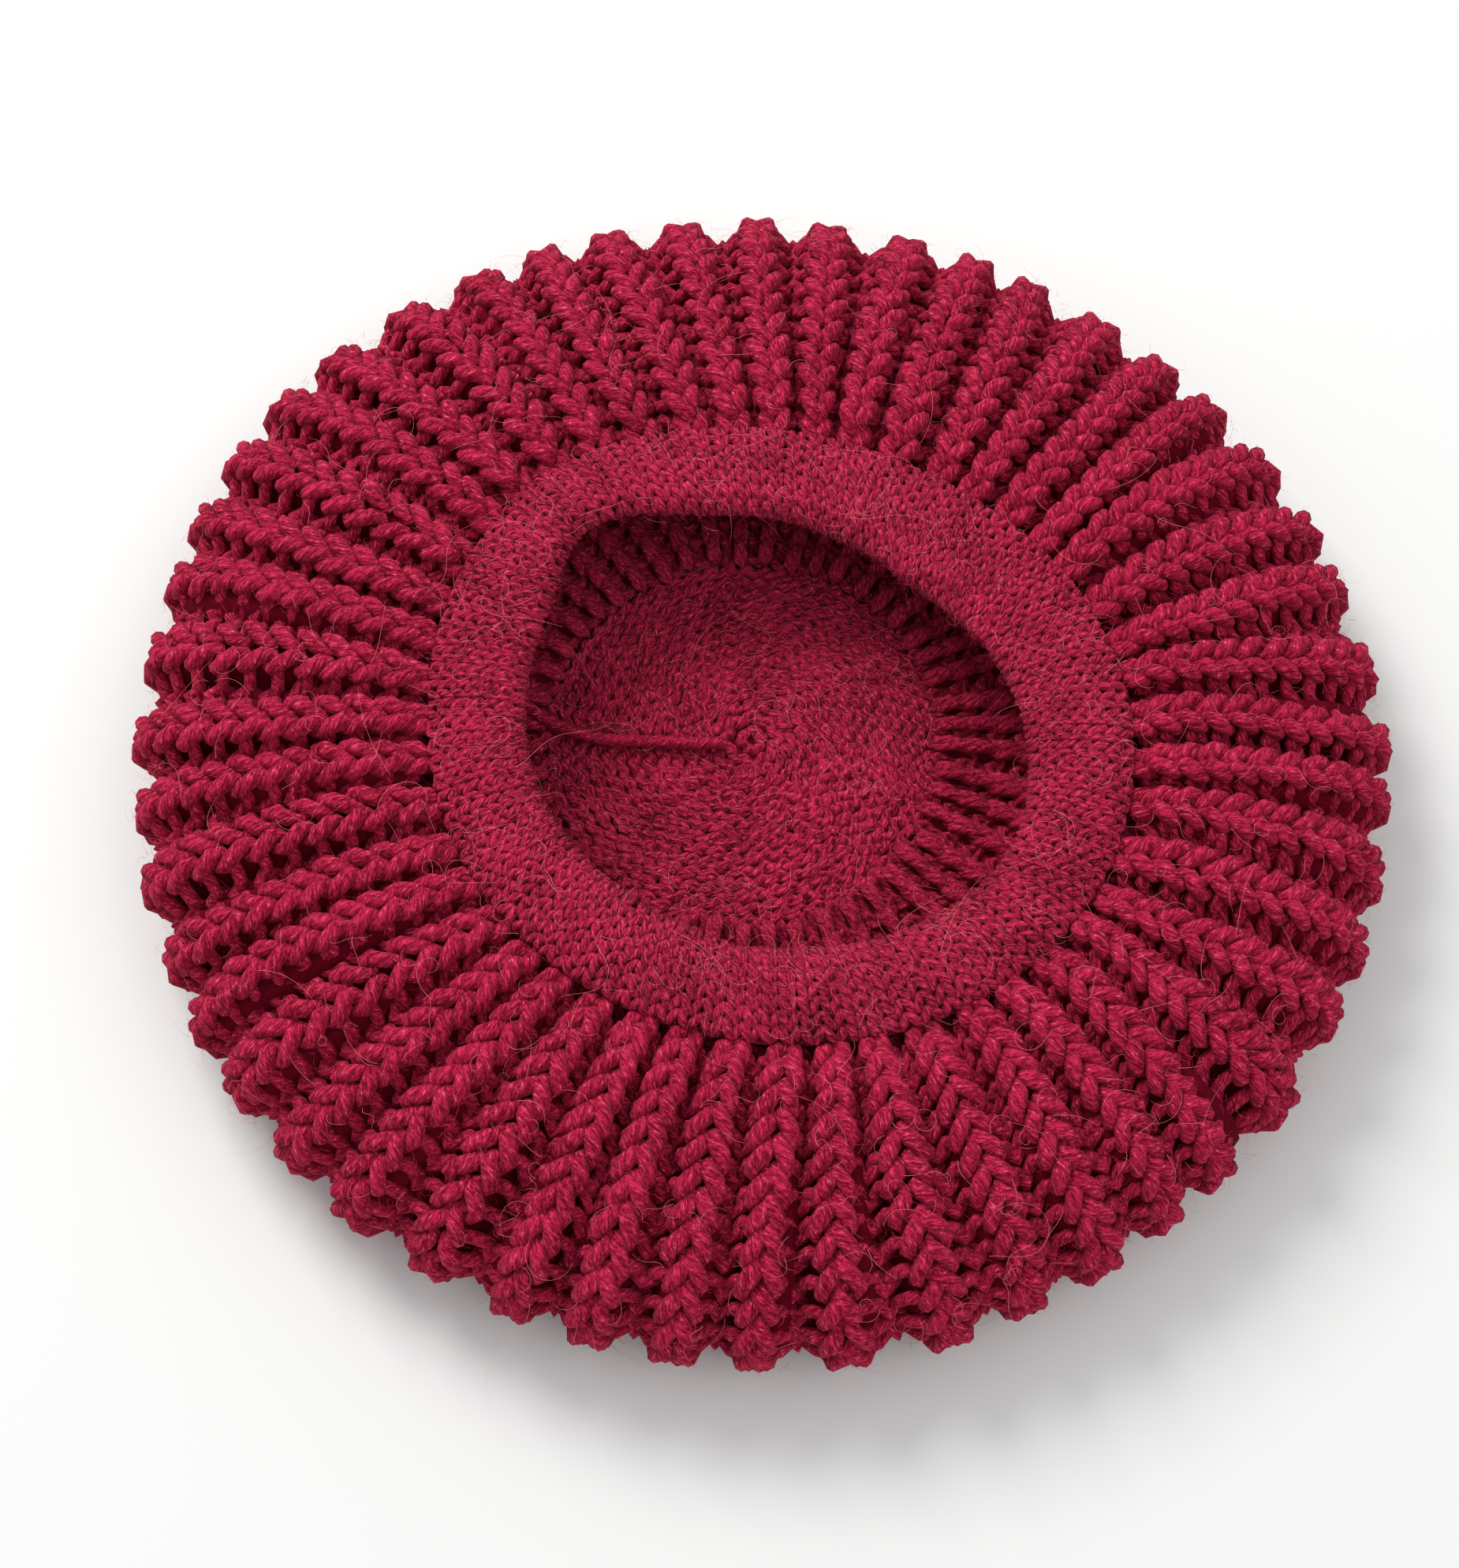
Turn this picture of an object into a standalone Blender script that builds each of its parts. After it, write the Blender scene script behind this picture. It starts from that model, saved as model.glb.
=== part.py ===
"""A hand-knitted wool beret, lying on its crown with the head opening up.

It is knitted from the headband to the crown: a folded band in plain knit, a body in deep one-by-one
ribs that swells over the edge and returns under it, and a small flat crown closed by a swirl of
decreases, with the end of the yarn left loose inside. Units are metres, +Z is up, and the beret
rests on Z = 0 with the middle of its outline on the Z axis.
"""

import math
from collections import namedtuple

import bmesh
import bpy
import numpy as np
from mathutils import Vector

# Outlines, as mean radii seen from above
EDGE_RADIUS = 0.1335  # middle of the wall at the widest place
SEAM_RADIUS = 0.0767  # where the ribs are picked up from the headband
OPENING_RADIUS = 0.0532  # folded edge of the headband
CROWN_RADIUS = 0.0455  # plain knitted middle of the crown

# Where each outline has its centre, measured from the centre of the edge
SEAM_CENTRE = Vector((0.0038, -0.0028))
OPENING_CENTRE = Vector((0.0030, -0.0038))
CROWN_CENTRE = Vector((-0.0020, 0.0065))

# Ribbed body
RIB_COUNT = 48
RIB_WIDTH = 0.0130  # one rib from foot to foot
RIB_CREST = 0.70  # flat top of a rib, as a share of its width
LEAST_VALLEY = 0.0004  # between the feet of two ribs, where they crowd together
RIB_RELIEF = 0.0021  # crest above the middle of the wall, and valley below it
WALL = 0.0030  # thickness of the ribbed fabric
BODY_RISE = 0.0290  # from the middle of the lower wall to that of the upper one

# Headband
BAND_THICKNESS = 0.0064  # two layers of plain knit
BAND_ARCH = 0.0020  # how far the middle of the band stands above its two edges
OPENING_LIFT = 0.0022  # opening edge above the seam
BAND_ROUNDING = 2.6  # exponent of the band's section: 2 is an ellipse, more is squarer
BAND_SIDES = 8
BAND_STEPS = 96

# Crown
CROWN_THICKNESS = 0.0042
CROWN_WEDGES = 8
CROWN_SWIRL = math.radians(34)  # how far a line of decreases turns from the edge to the middle
CROWN_GROOVE = 0.0006  # depth of the line between two wedges
CROWN_STEPS = 64

# End of yarn
YARN_DIAMETER = 0.0030
TAIL_SPACING = 0.0034  # between points of the tube

GAP = 0.0003  # between neighbouring pieces

WOOL = {
    "crown_ribs": (0.36, 0.012, 0.045),
    "band_ribs": (0.36, 0.012, 0.045),
    "headband": (0.42, 0.018, 0.06),
    "crown": (0.33, 0.011, 0.04),
    "yarn_tail": (0.40, 0.015, 0.05),
}
WOOL_ROUGHNESS = 0.9

# A dent pushes an outline in or out: at and width are degrees round from +X, share is of the radius.
Dent = namedtuple("Dent", "at width share")
EDGE_DENTS = (
    Dent(at=58, width=28, share=-0.016),
    Dent(at=142, width=17, share=0.030),
    Dent(at=225, width=22, share=0.008),
    Dent(at=275, width=16, share=0.016),
    Dent(at=322, width=20, share=0.009),
)
SEAM_DENTS = (
    Dent(at=62, width=27, share=-0.052),
    Dent(at=138, width=22, share=0.064),
    Dent(at=252, width=26, share=-0.030),
    Dent(at=338, width=24, share=0.022),
)
OPENING_DENTS = (
    Dent(at=50, width=25, share=-0.143),
    Dent(at=131, width=10, share=0.125),
    Dent(at=138, width=30, share=0.060),
    Dent(at=240, width=26, share=-0.050),
    Dent(at=328, width=20, share=0.075),
)
CROWN_DENTS = (
    Dent(at=0, width=35, share=-0.070),
    Dent(at=205, width=60, share=0.060),
)
# Lift of the opening's edge, as a share of BAND_THICKNESS
OPENING_FOLDS = (
    Dent(at=131, width=14, share=0.55),
    Dent(at=75, width=30, share=-0.18),
    Dent(at=200, width=40, share=0.12),
    Dent(at=300, width=35, share=-0.10),
)

# The ribbed wall in its two halves, which meet at the widest place. reach runs from 0 at the crown or
# the seam to 1 at the edge, rise is a share of BODY_RISE, tilt is the way the wall faces in degrees
# above the horizon, and relief is a share of RIB_RELIEF.
Station = namedtuple("Station", "reach rise tilt relief")
CROWN_SIDE = (
    Station(0.00, 0.00, -90, 0.45),
    Station(0.40, 0.00, -90, 0.80),
    Station(0.80, 0.04, -82, 0.90),
    Station(0.955, 0.20, -52, 1.00),
    Station(1.00, 0.46, -4, 1.00),
)
BAND_SIDE = (
    Station(1.00, 0.46, -4, 1.00),
    Station(0.95, 0.70, 36, 1.00),
    Station(0.78, 0.89, 62, 1.00),
    Station(0.50, 0.985, 78, 1.05),
    Station(0.22, 1.00, 90, 1.05),
    Station(0.07, 0.96, 97, 0.90),
    Station(0.00, 0.88, 90, 0.55),
)

# The end of yarn, from the knot in the crown's middle towards the left and under the band. along and
# across are measured from the crown's centre, and lift is the tube's underside above the crown.
TailPoint = namedtuple("TailPoint", "along across lift")
TAIL_ROUTE = (
    TailPoint(-0.0065, -0.0022, 0.0003),
    TailPoint(-0.0120, -0.0024, 0.0004),
    TailPoint(-0.0190, -0.0020, 0.0004),
    TailPoint(-0.0260, -0.0018, 0.0004),
    TailPoint(-0.0330, -0.0014, 0.0005),
    TailPoint(-0.0390, 0.0000, 0.0008),
    TailPoint(-0.0448, 0.0024, 0.0010),
    TailPoint(-0.0498, 0.0056, 0.0017),
    TailPoint(-0.0545, 0.0104, 0.0021),
    TailPoint(-0.0580, 0.0158, 0.0023),
)


def dented(dents, angle):
    """The sum of the dents' shares at this angle."""
    total = 0.0
    for dent in dents:
        turn = angle - math.radians(dent.at)
        turn = math.atan2(math.sin(turn), math.cos(turn))
        total += dent.share * math.exp(-0.5 * (turn / math.radians(dent.width)) ** 2)
    return total


def outline(radius, dents, centre, angle):
    """A point of an outline, seen from above."""
    reach = radius * (1 + dented(dents, angle))
    return centre + reach * Vector((math.cos(angle), math.sin(angle)))


def middle_of_edge():
    """The centre that puts the middle of the edge's outline on the Z axis."""
    around = np.linspace(0, 2 * math.pi, 720, endpoint=False)
    points = np.array([outline(EDGE_RADIUS, EDGE_DENTS, Vector((0, 0)), a) for a in around])
    return Vector(-(points.max(0) + points.min(0)) / 2)


EDGE_CENTRE = middle_of_edge()
FLOOR_LEVEL = WALL / 2 + RIB_RELIEF * max(s.relief for s in CROWN_SIDE if s.tilt == -90)
SEAM_HEIGHT = FLOOR_LEVEL + GAP + BAND_SIDE[-1].rise * BODY_RISE


def edge(angle):
    return outline(EDGE_RADIUS, EDGE_DENTS, EDGE_CENTRE, angle)


def seam(angle, outward=0.0):
    return outline(SEAM_RADIUS + outward, SEAM_DENTS, EDGE_CENTRE + SEAM_CENTRE, angle)


def opening(angle):
    return outline(OPENING_RADIUS, OPENING_DENTS, EDGE_CENTRE + OPENING_CENTRE, angle)


def crown_edge(angle, outward=0.0):
    return outline(CROWN_RADIUS + outward, CROWN_DENTS, EDGE_CENTRE + CROWN_CENTRE, angle)


# Each half of the ribbed body: start is the outline that it is knitted from, and lift raises it.
Half = namedtuple("Half", "name stations start lift")
HALVES = (
    Half("crown_ribs", CROWN_SIDE, crown_edge, 0.0),
    Half("band_ribs", BAND_SIDE, seam, GAP),
)


def wall_point(half, station, angle):
    """The middle of the ribbed wall, and the direction that it faces."""
    place = half.start(angle, GAP).lerp(edge(angle), station.reach)
    height = FLOOR_LEVEL + half.lift + station.rise * BODY_RISE
    tilt = math.radians(station.tilt)
    outward = math.cos(tilt)
    facing = Vector((outward * math.cos(angle), outward * math.sin(angle), math.sin(tilt)))
    return Vector((*place, height)), facing


def rib_corners(spacing):
    """The corners of one rib as (share of the spacing from its middle, height from -1 to 1)."""
    foot = min(RIB_WIDTH, spacing - LEAST_VALLEY) / 2 / spacing
    crest = foot * RIB_CREST
    return ((-foot, -1), (-crest, 1), (crest, 1), (foot, -1))


def ribbed_ring(half, station, depth):
    """One ring round the ribbed wall, depth from its middle along the way that it faces."""
    ring = []
    step = 2 * math.pi / RIB_COUNT
    for rib in range(RIB_COUNT):
        middle = rib * step
        place, _ = wall_point(half, station, middle)
        spacing = step * (place.xy - EDGE_CENTRE).length
        for share, height in rib_corners(spacing):
            place, facing = wall_point(half, station, middle + share * step)
            ring.append(place + facing * (depth + height * station.relief * RIB_RELIEF))
    return ring


def band_ring(corner):
    """One ring of the headband: corner is its angle round the band's section."""
    power = 2 / BAND_ROUNDING
    across = math.copysign(abs(math.cos(corner)) ** power, math.cos(corner))
    upward = math.copysign(abs(math.sin(corner)) ** power, math.sin(corner))
    widest = math.cos(math.pi / BAND_SIDES) ** power
    share = (1 - across / widest) / 2  # 0 at the seam, 1 at the opening
    ring = []
    for step in range(BAND_STEPS):
        angle = 2 * math.pi * step / BAND_STEPS
        place = seam(angle, -GAP).lerp(opening(angle), share)
        fold = OPENING_LIFT + BAND_THICKNESS * dented(OPENING_FOLDS, angle)
        height = SEAM_HEIGHT + share * fold + BAND_ARCH * math.sin(math.pi * share)
        ring.append(Vector((*place, height + upward * BAND_THICKNESS / 2)))
    return ring


def crown_top(angle, reach):
    """Height of the crown's inner face, with a groove along each line of decreases."""
    turned = angle + CROWN_SWIRL * (1 - reach)
    groove = max(0.0, math.cos(CROWN_WEDGES * turned)) ** 3
    fade = math.sin(math.pi * min(1.0, reach))
    return CROWN_THICKNESS - CROWN_GROOVE * groove * fade


def crown_ring(reach, height=None):
    """One ring of the crown at a share of its radius, on its inner face if no height is given."""
    centre = EDGE_CENTRE + CROWN_CENTRE
    ring = []
    for step in range(CROWN_STEPS):
        angle = 2 * math.pi * step / CROWN_STEPS
        place = centre.lerp(crown_edge(angle), reach)
        ring.append(Vector((*place, crown_top(angle, reach) if height is None else height)))
    return ring


def wool(name):
    """Dyed wool in the colour of this piece."""
    material = bpy.data.materials.new(f"wool_{name}")
    material.use_nodes = True
    shader = material.node_tree.nodes["Principled BSDF"]
    shader.inputs["Base Color"].default_value = (*WOOL[name], 1)
    shader.inputs["Roughness"].default_value = WOOL_ROUGHNESS
    shader.inputs["Metallic"].default_value = 0
    return material


def loft(name, rings, collection, closed):
    """A solid through rings of equal length: closed joins the last to the first, else both are capped."""
    shape = bmesh.new()
    rows = [[shape.verts.new(point) for point in ring] for ring in rings]
    pairs = list(zip(rows, rows[1:]))
    if closed:
        pairs.append((rows[-1], rows[0]))
    for low, high in pairs:
        for k in range(len(low)):
            after = (k + 1) % len(low)
            shape.faces.new((low[k], low[after], high[after], high[k]))
    if not closed:
        shape.faces.new(rows[0])
        shape.faces.new(rows[-1])
    bmesh.ops.recalc_face_normals(shape, faces=shape.faces)
    mesh = bpy.data.meshes.new(name)
    shape.to_mesh(mesh)
    shape.free()
    mesh.shade_smooth()
    mesh.set_sharp_from_angle(angle=math.radians(40))
    mesh.materials.append(wool(name))
    piece = bpy.data.objects.new(name, mesh)
    collection.objects.link(piece)
    return piece


def make_ribs(half, collection):
    """One half of the ribbed wall, with an outer and an inner face."""
    outside = [ribbed_ring(half, station, WALL / 2) for station in half.stations]
    inside = [ribbed_ring(half, station, -WALL / 2) for station in reversed(half.stations)]
    return loft(half.name, outside + inside, collection, closed=True)


def make_headband(collection):
    corners = [2 * math.pi * (side + 0.5) / BAND_SIDES for side in range(BAND_SIDES)]
    return loft("headband", [band_ring(corner) for corner in corners], collection, closed=True)


def make_crown(collection):
    rounding = CROWN_THICKNESS / 4
    inset = 1 - rounding / CROWN_RADIUS
    rings = [
        crown_ring(inset, 0.0),
        crown_ring(1.0, rounding),
        crown_ring(1.0, CROWN_THICKNESS - rounding),
        crown_ring(inset),
        crown_ring(0.72),
        crown_ring(0.42),
        crown_ring(0.15),
    ]
    return loft("crown", rings, collection, closed=False)


def smooth_route(points, spacing):
    """Points at an even spacing along a smooth curve through these points."""
    ends = [2 * points[0] - points[1]] + points + [2 * points[-1] - points[-2]]
    fine = []
    for a, b, c, d in zip(ends, ends[1:], ends[2:], ends[3:]):
        for t in np.linspace(0, 1, 24, endpoint=False):
            pull = (c - a) * t + (2 * a - 5 * b + 4 * c - d) * t**2 + (3 * b - a - 3 * c + d) * t**3
            fine.append(b + pull / 2)
    fine.append(points[-1])
    walked = np.cumsum([0.0] + [(b - a).length for a, b in zip(fine, fine[1:])])
    wanted = np.linspace(0, walked[-1], max(2, round(walked[-1] / spacing)) + 1)
    spread = [np.interp(wanted, walked, [p[k] for p in fine]) for k in range(3)]
    return [Vector(p) for p in zip(*spread)]


def make_yarn_tail(collection):
    middle = EDGE_CENTRE + CROWN_CENTRE
    base = CROWN_THICKNESS + YARN_DIAMETER / 2
    route = [Vector((middle.x + p.along, middle.y + p.across, base + p.lift)) for p in TAIL_ROUTE]
    points = smooth_route(route, TAIL_SPACING)
    curve = bpy.data.curves.new("yarn_tail", "CURVE")
    curve.dimensions = "3D"
    curve.bevel_depth = YARN_DIAMETER / 2
    curve.bevel_resolution = 2
    curve.use_fill_caps = True
    line = curve.splines.new("POLY")
    line.points.add(len(points) - 1)
    for spot, point in zip(line.points, points):
        spot.co = (*point, 1)
    curve.materials.append(wool("yarn_tail"))
    piece = bpy.data.objects.new("yarn_tail", curve)
    collection.objects.link(piece)
    return piece


def main():
    for old in list(bpy.data.objects):
        bpy.data.objects.remove(old)
    beret = bpy.data.collections.new("knit_beret")
    bpy.context.scene.collection.children.link(beret)
    for half in HALVES:
        make_ribs(half, beret)
    make_headband(beret)
    make_crown(beret)
    make_yarn_tail(beret)


main()
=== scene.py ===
"""Knits a wool beret stitch by stitch over its plain solids, and lights it for a photograph.

The beret lies on its crown with the head opening up. Every course of knitting is one ring of yarn
that runs through its real loops. Lengths are in metres, and +Z is up.
"""

import math
from collections import namedtuple

import bmesh
import bpy
import numpy as np
from bpy.props import FloatProperty, FloatVectorProperty, IntProperty, PointerProperty
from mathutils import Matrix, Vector


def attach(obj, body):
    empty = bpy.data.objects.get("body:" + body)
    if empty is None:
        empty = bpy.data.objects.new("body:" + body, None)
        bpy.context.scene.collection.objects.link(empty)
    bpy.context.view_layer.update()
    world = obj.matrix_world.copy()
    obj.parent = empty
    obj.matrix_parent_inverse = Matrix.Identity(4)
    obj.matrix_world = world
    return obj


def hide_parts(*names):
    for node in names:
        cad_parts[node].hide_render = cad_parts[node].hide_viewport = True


bl_info = {
    "name": "Knit Beret",
    "version": (1, 0, 0),
    "blender": (4, 5, 0),
    "location": "View3D > Sidebar > Beret",
    "description": "Knits a wool beret from rings of looped yarn",
    "category": "Object",
}

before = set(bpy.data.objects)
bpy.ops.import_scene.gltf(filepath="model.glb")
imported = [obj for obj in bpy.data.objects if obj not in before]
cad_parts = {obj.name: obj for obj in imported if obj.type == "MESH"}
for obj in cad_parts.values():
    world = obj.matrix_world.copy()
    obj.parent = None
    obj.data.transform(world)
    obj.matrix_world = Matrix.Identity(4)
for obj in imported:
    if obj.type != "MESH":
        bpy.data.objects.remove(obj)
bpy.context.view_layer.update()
BODY = "root"

# Form of the beret, as in the solids: outlines seen from above, each a radius with dents
EDGE_RADIUS = 0.1335
SEAM_RADIUS = 0.0767
OPENING_RADIUS = 0.0532
CROWN_RADIUS = 0.0455
SEAM_CENTRE = np.array((0.0038, -0.0028))
OPENING_CENTRE = np.array((0.0030, -0.0038))
CROWN_CENTRE = np.array((-0.0020, 0.0065))
BODY_RISE = 0.0290
FLOOR_LEVEL = 0.00318
HALF_GAP = 0.0003
BAND_THICKNESS = 0.0064
BAND_ARCH = 0.0020
OPENING_LIFT = 0.0022
BAND_ROUNDING = 2.6
BAND_INSET = 0.0016  # of each layer's middle from the band's surface
BAND_SWEEP = (-24, -338)  # degrees round its section, from the hidden end to the seam
CROWN_THICKNESS = 0.0042

# A dent pushes an outline in or out: at and width are degrees round from +X, share is of the radius.
Dent = namedtuple("Dent", "at width share")
EDGE_DENTS = (
    Dent(58, 28, -0.016),
    Dent(142, 17, 0.030),
    Dent(225, 22, 0.008),
    Dent(275, 16, 0.016),
    Dent(322, 20, 0.009),
)
SEAM_DENTS = (
    Dent(62, 27, -0.052),
    Dent(138, 22, 0.064),
    Dent(252, 26, -0.030),
    Dent(338, 24, 0.022),
)
OPENING_DENTS = (
    Dent(50, 25, -0.143),
    Dent(131, 10, 0.125),
    Dent(138, 30, 0.060),
    Dent(240, 26, -0.050),
    Dent(328, 20, 0.075),
)
CROWN_DENTS = (
    Dent(0, 35, -0.070),
    Dent(205, 60, 0.060),
)
# Lift of the opening's edge, as a share of BAND_THICKNESS
OPENING_FOLDS = (
    Dent(131, 14, 0.55),
    Dent(75, 30, -0.18),
    Dent(200, 40, 0.12),
    Dent(300, 35, -0.10),
)

# The ribbed wall from the headband's seam, out round the edge and back under to the crown. seam, edge
# and crown are how far each outline pulls the wall, rise is a share of BODY_RISE, and relief is how
# deep the ribs are.
Station = namedtuple("Station", "seam edge crown rise relief")
STATIONS = (
    Station(1.00, 0.00, 0.00, 0.88, 0.70),
    Station(0.93, 0.07, 0.00, 0.96, 0.90),
    Station(0.78, 0.22, 0.00, 1.00, 1.05),
    Station(0.50, 0.50, 0.00, 0.985, 1.05),
    Station(0.22, 0.78, 0.00, 0.89, 1.00),
    Station(0.05, 0.95, 0.00, 0.70, 0.85),
    Station(0.00, 1.00, 0.00, 0.46, 0.70),
    Station(0.00, 0.955, 0.045, 0.20, 0.65),
    Station(0.00, 0.80, 0.20, 0.04, 0.60),
    Station(0.00, 0.40, 0.60, 0.00, 0.42),
    Station(0.00, 0.00, 1.00, 0.00, 0.30),
)

# Knitting
RIB_COUNT = 48
BAND_COLUMNS = 104
CROWN_WEDGES = 8
CROWN_RIM_STITCHES = 9  # in each wedge, at the rim
PLIES = 4
RIB_TWIST = 0.0110  # length of yarn in one turn of its plies
BAND_TWIST = 0.0090

# Ribs
WIDEST_KNIT = 0.0102  # column of knit stitches
KNIT_SHARE = 0.70  # most of the pitch that a knit column takes, where the ribs crowd together
UNDER_SHARE = 0.50  # the same below, where knit and purl lie side by side
UNDER = (0.50, 0.75)  # shares of the wall's length between which it turns to lie below
HALF_VALLEY = 0.0009  # least room between two ribs, halved
KNIT_HEAD = (0.0009, 0.0034)  # least and most that a knit loop's head reaches from its column's middle
PURL_HEAD = (0.50, 0.90)  # of a purl loop, as a share of the knit loop's, above and below
FULL_PITCH = 0.0092  # where the ribs crowd closer than this, their yarn is pressed thinner
THINNEST = 0.72  # share of its thickness that is left at least
VALLEY_DEPTH = 1.7  # of the fold between two ribs, as a share of the crest's height
FLANK_ROOM = 0.015  # of the pitch, from the knit column to the middle of the rib's flank
FLANK_WIDTH = 0.05  # of the pitch
WALL_TUCK = 0.0030  # of the first course, so that its loops meet the headband
RIB_INSET = 0.0013  # of the yarn's middle from the wall's middle, so that the crests keep the outline

# The shape of a stitch. base and head are where its legs end, as shares of the column, or in a rib
# base is a share of the head. reach is how far it reaches into the next course, swell how far its legs
# stand out in radii of the yarn, plump its thickness, and bulge what its legs gain, or in the crown
# what its ends gain.
Stitch = namedtuple("Stitch", "base head reach swell plump bulge")
RIB_STITCH = Stitch(base=0.24, head=None, reach=0.80, swell=1.12, plump=0.88, bulge=0.27)
BAND_STITCH = Stitch(base=0.11, head=0.40, reach=0.86, swell=1.25, plump=0.88, bulge=0.18)
CROWN_STITCH = Stitch(base=0.10, head=0.40, reach=0.74, swell=1.25, plump=1.02, bulge=0.20)
RIB_SLANT = 0.10  # of a course's height, by which one leg of a rib's stitch lies lower
UNDER_FLATTER = 0.30  # swell that the stitches lose below
FOLD_PLUMP = 1.25  # the course along the headband's fold is purled, and stands out

# How unevenly a hand knits. head, leg, reach and plump are shares and depth is a length, each the usual
# slip from stitch to stitch. turn, creep and lift are slow waves over the fabric, round it, along it
# and out of it, in radians and lengths. Each use of chance adds a number of its own to the seed.
Hand = namedtuple("Hand", "head leg reach plump depth turn creep lift")
RIB_HAND = Hand(
    head=0.020, leg=0.016, reach=0.07, plump=0.05, depth=0.00030, turn=0.016, creep=0.0005, lift=0.0004)
BAND_HAND = Hand(
    head=0.022, leg=0.014, reach=0.04, plump=0.05, depth=0.00012, turn=0.006, creep=0.0003, lift=0.0)
CROWN_HAND = Hand(
    head=0.030, leg=0.0, reach=0.06, plump=0.07, depth=0.00012, turn=0.0, creep=0.0003, lift=0.0002)
WEDGE_SINK = 0.0003  # of the line of decreases between two wedges
CROWN_SINK = 0.0002  # of the crown's yarn below the middle of its solid
CROWN_HOLE = 0.0015  # radius of the tiny hole that the last course is drawn up to
SWIRL_END = 0.004  # distance from the middle at which the swirl stops turning
END_ROOM = 0.001  # kept free at both ends of the headband's section, and of the dark sheets of painted shade

# The yarn's free end, as in the solids: along and across are measured from the crown's centre, and
# lift is its underside above the crown.
YARN_DIAMETER = 0.0030
TailPoint = namedtuple("TailPoint", "along across lift")
TAIL_ROUTE = (
    TailPoint(-0.0065, -0.0022, 0.0003),
    TailPoint(-0.0120, -0.0024, 0.0004),
    TailPoint(-0.0190, -0.0020, 0.0004),
    TailPoint(-0.0260, -0.0018, 0.0004),
    TailPoint(-0.0330, -0.0014, 0.0005),
    TailPoint(-0.0390, 0.0000, 0.0008),
    TailPoint(-0.0448, 0.0024, 0.0010),
    TailPoint(-0.0498, 0.0056, 0.0017),
    TailPoint(-0.0545, 0.0104, 0.0021),
    TailPoint(-0.0580, 0.0158, 0.0023),
)


# Settings

def linear(code):
    """An sRGB hex colour as the linear values that shaders take."""
    values = [int(code[k:k + 2], 16) / 255 for k in (1, 3, 5)]
    return tuple(v / 12.92 if v <= 0.04045 else ((v + 0.055) / 1.055) ** 2.4 for v in values)


class BeretKnitSettings(bpy.types.PropertyGroup):
    """Sizes of the yarn and its stitches"""

    rib_yarn: FloatProperty(
        name="Rib Yarn", description="Diameter of the yarn in the ribs",
        default=0.0034, min=0.001, max=0.006, unit="LENGTH")
    rib_course: FloatProperty(
        name="Rib Course", description="Height of one stitch along a rib",
        default=0.0057, min=0.003, max=0.012, unit="LENGTH")
    rib_depth: FloatProperty(
        name="Rib Depth", description="Crest of a rib above the middle of the wall",
        default=0.0021, min=0.0, max=0.005, unit="LENGTH")
    band_yarn: FloatProperty(
        name="Band Yarn", description="Diameter of the yarn in the tighter headband",
        default=0.0021, min=0.001, max=0.006, unit="LENGTH")
    band_course: FloatProperty(
        name="Band Course", description="Height of one stitch across the headband",
        default=0.0035, min=0.002, max=0.008, unit="LENGTH")
    crown_yarn: FloatProperty(
        name="Crown Yarn", description="Diameter of the yarn in the crown",
        default=0.0021, min=0.001, max=0.006, unit="LENGTH")
    crown_course: FloatProperty(
        name="Crown Course", description="Height of one stitch towards the crown's middle",
        default=0.0029, min=0.002, max=0.008, unit="LENGTH")
    hairs: IntProperty(
        name="Hairs", description="Loose fibres that stand off the yarn",
        default=3000, min=0, max=5000)
    seed: IntProperty(name="Seed", description="Picks the hand's small unevenness", default=7, min=0)


class BeretWoolSettings(bpy.types.PropertyGroup):
    """Colours of the wool"""

    # Lit Fibres and Deep Fibres are painted light and painted shade of one wool: the shader mixes them by the
    # plies' ridges and the strands' sides, and by the fibres' and the dye's random tone
    light: FloatVectorProperty(
        name="Lit Fibres", description="Colour on top of the plies",
        subtype="COLOR", default=linear("#E82E5E"), min=0, max=1)
    deep: FloatVectorProperty(
        name="Deep Fibres", description="Colour between the plies",
        subtype="COLOR", default=linear("#6E0019"), min=0, max=1)
    hair: FloatVectorProperty(
        name="Hair", description="Colour of single loose fibres",
        subtype="COLOR", default=linear("#FF9492"), min=0, max=1)
    # Painted shade: colour of the dark sheets behind the loops, which stand for the shade in the gaps between
    # them
    core: FloatVectorProperty(
        name="Core", description="Colour of the matted fibres between the loops",
        subtype="COLOR", default=linear("#6C0820"), min=0, max=1)


class BeretStageSettings(bpy.types.PropertyGroup):
    """Floor, camera and light"""

    floor: FloatVectorProperty(
        name="Floor", description="Colour of the floor",
        subtype="COLOR", default=linear("#E4E3E0"), min=0, max=1)
    elevation: FloatProperty(
        name="Elevation", description="Angle of the camera above the horizon",
        default=math.radians(65), min=0.1, max=1.57, unit="ROTATION")
    distance: FloatProperty(
        name="Distance", description="From the camera to the beret",
        default=0.60, min=0.2, max=5, unit="LENGTH")


# Form

def dented(dents, angle):
    """The sum of the dents' shares at these angles."""
    total = np.zeros_like(angle)
    for dent in dents:
        turn = np.angle(np.exp(1j * (angle - math.radians(dent.at))))
        total = total + dent.share * np.exp(-0.5 * (turn / math.radians(dent.width)) ** 2)
    return total


def all_round(steps):
    """Even angles once round, without the last."""
    return np.linspace(0, 2 * math.pi, steps, endpoint=False)


def compass(angle):
    """The directions of these angles, seen from above."""
    return np.stack((np.cos(angle), np.sin(angle)), -1)


def outline(radius, dents, centre, angle):
    """Points of an outline, seen from above."""
    return centre + (radius * (1 + dented(dents, angle)))[..., None] * compass(angle)


def middle_of_edge():
    """The centre that puts the middle of the edge's outline on the Z axis."""
    points = outline(EDGE_RADIUS, EDGE_DENTS, (0, 0), all_round(720))
    return -(points.max(0) + points.min(0)) / 2


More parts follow.
